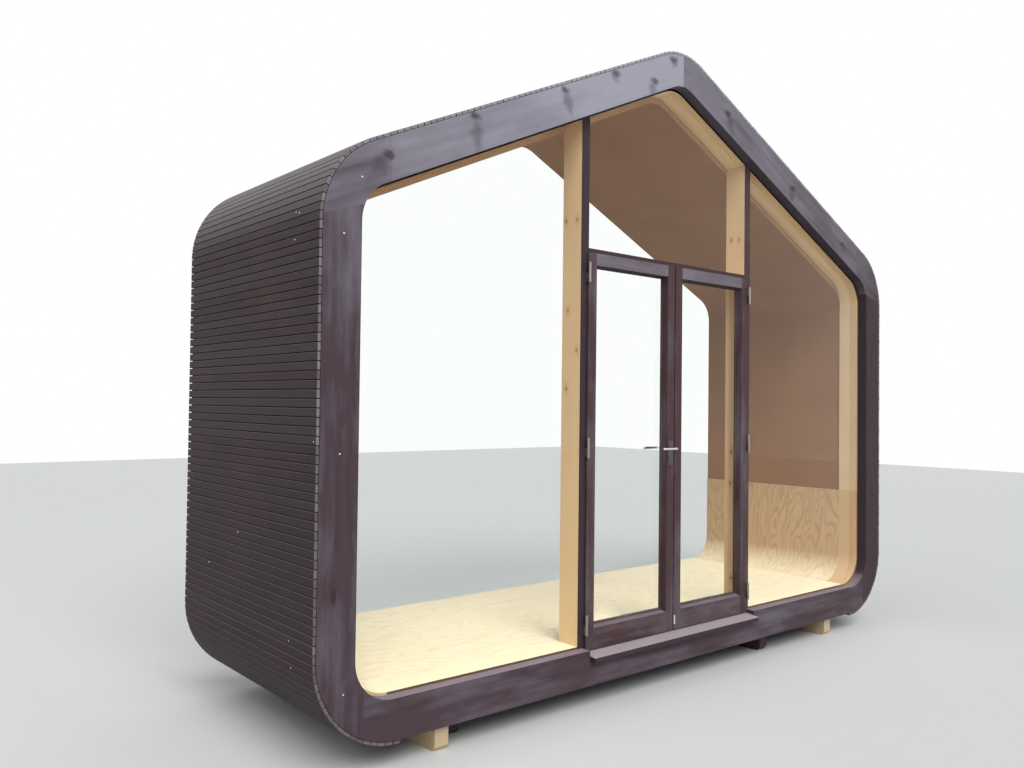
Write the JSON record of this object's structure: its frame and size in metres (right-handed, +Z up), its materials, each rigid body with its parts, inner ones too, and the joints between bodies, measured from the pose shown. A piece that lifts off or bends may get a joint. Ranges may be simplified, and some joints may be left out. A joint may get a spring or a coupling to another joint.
{
  "type": "garden office pod",
  "caption": "House-shaped garden office pod module: slat-clad rounded sleeve on timber bearers, with a glazed timber front and glazed double doors that swing outwards, open at the rear end.",
  "frame": {"origin": "on the floor, under the middle of the pod's box", "axes": "+X to the right along the glazed front, +Y from the front into the pod, +Z up"},
  "size_m": [4.6, 1.444, 3.5981],
  "materials": {
    "cardboard": "bare laminated corrugated cardboard, matt",
    "slats": "dark stained spruce slats, weathered, matt",
    "plywood": "clear satin plywood",
    "pine": "clear satin laminated pine",
    "stained_timber": "dark purple-brown stain, satin",
    "door_timber": "dark purple-brown stain, satin",
    "glass": "clear insulating glass",
    "fittings": "satin steel",
    "bearers": "bare planed pine"
  },
  "bodies": {
    "pod": {"cardboard_sleeve": "cardboard", "cladding_left": "slats", "cladding_right": "slats", "ply_floor": "plywood", "ply_lining_left": "plywood", "ply_lining_right": "plywood", "pine_sill": "pine", "pine_jamb_left": "pine", "pine_jamb_right": "pine", "pine_rafter_left": "pine", "pine_rafter_right": "pine", "post_left": "pine", "post_right": "pine", "pine_header": "pine", "face_rail": "stained_timber", "face_stile_left": "stained_timber", "face_stile_right": "stained_timber", "face_eave_left": "stained_timber", "face_eave_right": "stained_timber", "face_rafter_left": "stained_timber", "face_rafter_right": "stained_timber", "mullion_left": "stained_timber", "mullion_right": "stained_timber", "transom": "stained_timber", "door_sill": "stained_timber", "window_glass_left": "glass", "window_glass_right": "glass", "toplight_glass": "glass", "hinge_pins": "fittings", "bearers": "bearers"},
    "left_leaf": {"left_hinge_stile": "door_timber", "left_lock_stile": "door_timber", "left_top_rail": "door_timber", "left_bottom_rail": "door_timber", "left_door_glass": "glass", "left_knuckles": "fittings", "handle_plates": "fittings"},
    "right_leaf": {"right_hinge_stile": "door_timber", "right_lock_stile": "door_timber", "right_top_rail": "door_timber", "right_bottom_rail": "door_timber", "right_door_glass": "glass", "right_knuckles": "fittings", "bolt_plate": "fittings"},
    "lever": {"lever_handle": "fittings"}
  },
  "joints": [
    {"name": "left_door_hinge", "type": "hinge", "parent": "pod", "child": "left_leaf", "pos_m": [-0.711, -0.647, 1.327], "axis": [0, 0, -1], "range_deg": [0, 105]},
    {"name": "right_door_hinge", "type": "hinge", "parent": "pod", "child": "right_leaf", "pos_m": [0.711, -0.647, 1.327], "axis": [0, 0, 1], "range_deg": [0, 105]},
    {"name": "lever_turn", "type": "hinge", "parent": "left_leaf", "child": "lever", "pos_m": [-0.034, -0.683, 1.323], "axis": [0, -1, 0], "range_deg": [0, 40], "stiffness_Nm_per_rad": 2, "springref_deg": -20.05}
  ]
}
